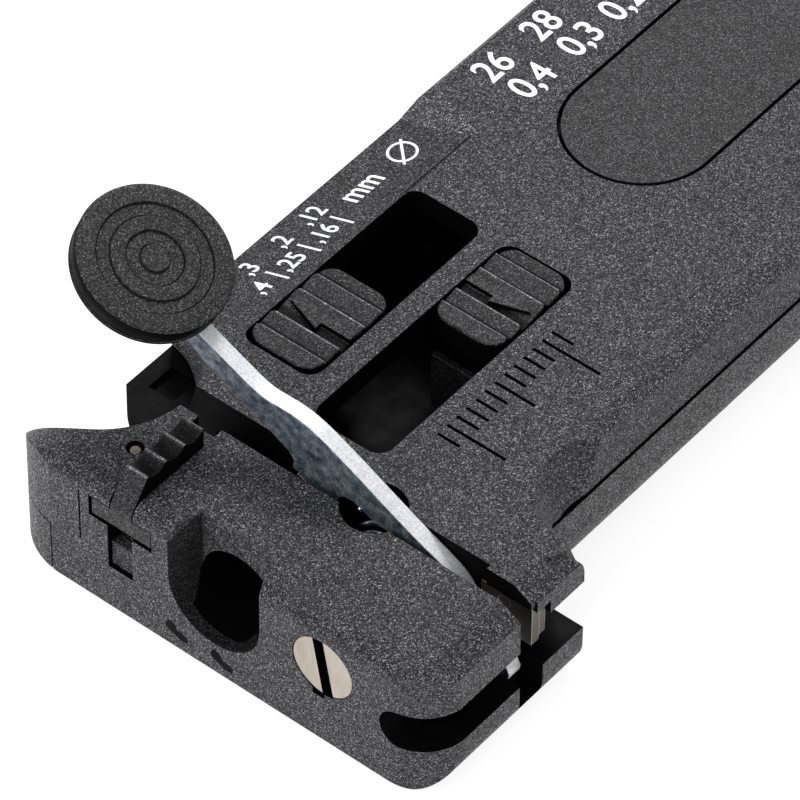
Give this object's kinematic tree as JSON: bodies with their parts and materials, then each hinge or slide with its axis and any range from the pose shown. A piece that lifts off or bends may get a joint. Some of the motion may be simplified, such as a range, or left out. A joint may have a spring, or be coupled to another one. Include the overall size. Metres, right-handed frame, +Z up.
{
  "type": "wire stripper",
  "caption": "Handheld fine-wire stripper with a sprung thumb lever, adjustable length and diameter stops, a lock slider and a side cutter.",
  "frame": {"origin": "middle of the underside, below the centre of the overall box", "axes": "+X across the head towards the side cutter, +Y from the front face to the tail, +Z up through the thumb button"},
  "size_m": [0.0374, 0.115, 0.024],
  "materials": {
    "black_nylon": "spark-eroded grain, glass-filled nylon",
    "coal_nylon": "finer grain",
    "button_nylon": "soft satin",
    "zinc_steel": "zinc plated",
    "blade_steel": "ground, hardened",
    "spring_steel": "polished",
    "nickel": "nickel plated",
    "insert_brass": "knurled"
  },
  "bodies": {
    "housing": {"base_shell": "black_nylon", "top_shell": "black_nylon", "nose_block": "black_nylon", "handle_inlay": "coal_nylon", "pivot_screw": "nickel", "pivot_bush": "nickel", "pivot_insert": "insert_brass", "return_spring": "spring_steel", "fixed_blade": "blade_steel", "fixed_blade_seat": "blade_steel", "fixed_blade_rivets": "spring_steel", "cutter_plate_front": "blade_steel", "cutter_plate_rear": "blade_steel", "cutter_rivets": "blade_steel", "nose_screws": "spring_steel", "housing_screws": "spring_steel", "housing_inserts": "insert_brass", "lock_pin": "nickel", "length_click_spring": "spring_steel", "diameter_click_spring": "spring_steel"},
    "lever_arm": {"lever": "zinc_steel", "thumb_button": "button_nylon", "button_rivets": "spring_steel", "moving_blade": "zinc_steel", "blade_rivets": "zinc_steel"},
    "lock": {"lock_slider": "coal_nylon", "lock_spring_strip": "spring_steel"},
    "diameter_stop": {"diameter_slider": "coal_nylon", "diameter_cam": "black_nylon"},
    "length_stop": {"length_slider": "coal_nylon", "length_stop_plate": "coal_nylon"}
  },
  "joints": [
    {"name": "lever_press", "type": "hinge", "parent": "housing", "child": "lever_arm", "pos_m": [0.00957, -0.04785, 0.007], "axis": [0, -1, 0], "range_deg": [0, 24.5], "stiffness_Nm_per_rad": 0.08, "springref_deg": -14.32, "deforming": ["return_spring"]},
    {"name": "lock_slide", "type": "slide", "parent": "housing", "child": "lock", "axis": [0, 1, 0], "range_m": [0, 0.002]},
    {"name": "diameter_slide", "type": "slide", "parent": "housing", "child": "diameter_stop", "axis": [0, 1, 0], "range_m": [0, 0.009]},
    {"name": "length_slide", "type": "slide", "parent": "housing", "child": "length_stop", "axis": [0, 1, 0], "range_m": [-0.0123, 0]}
  ]
}
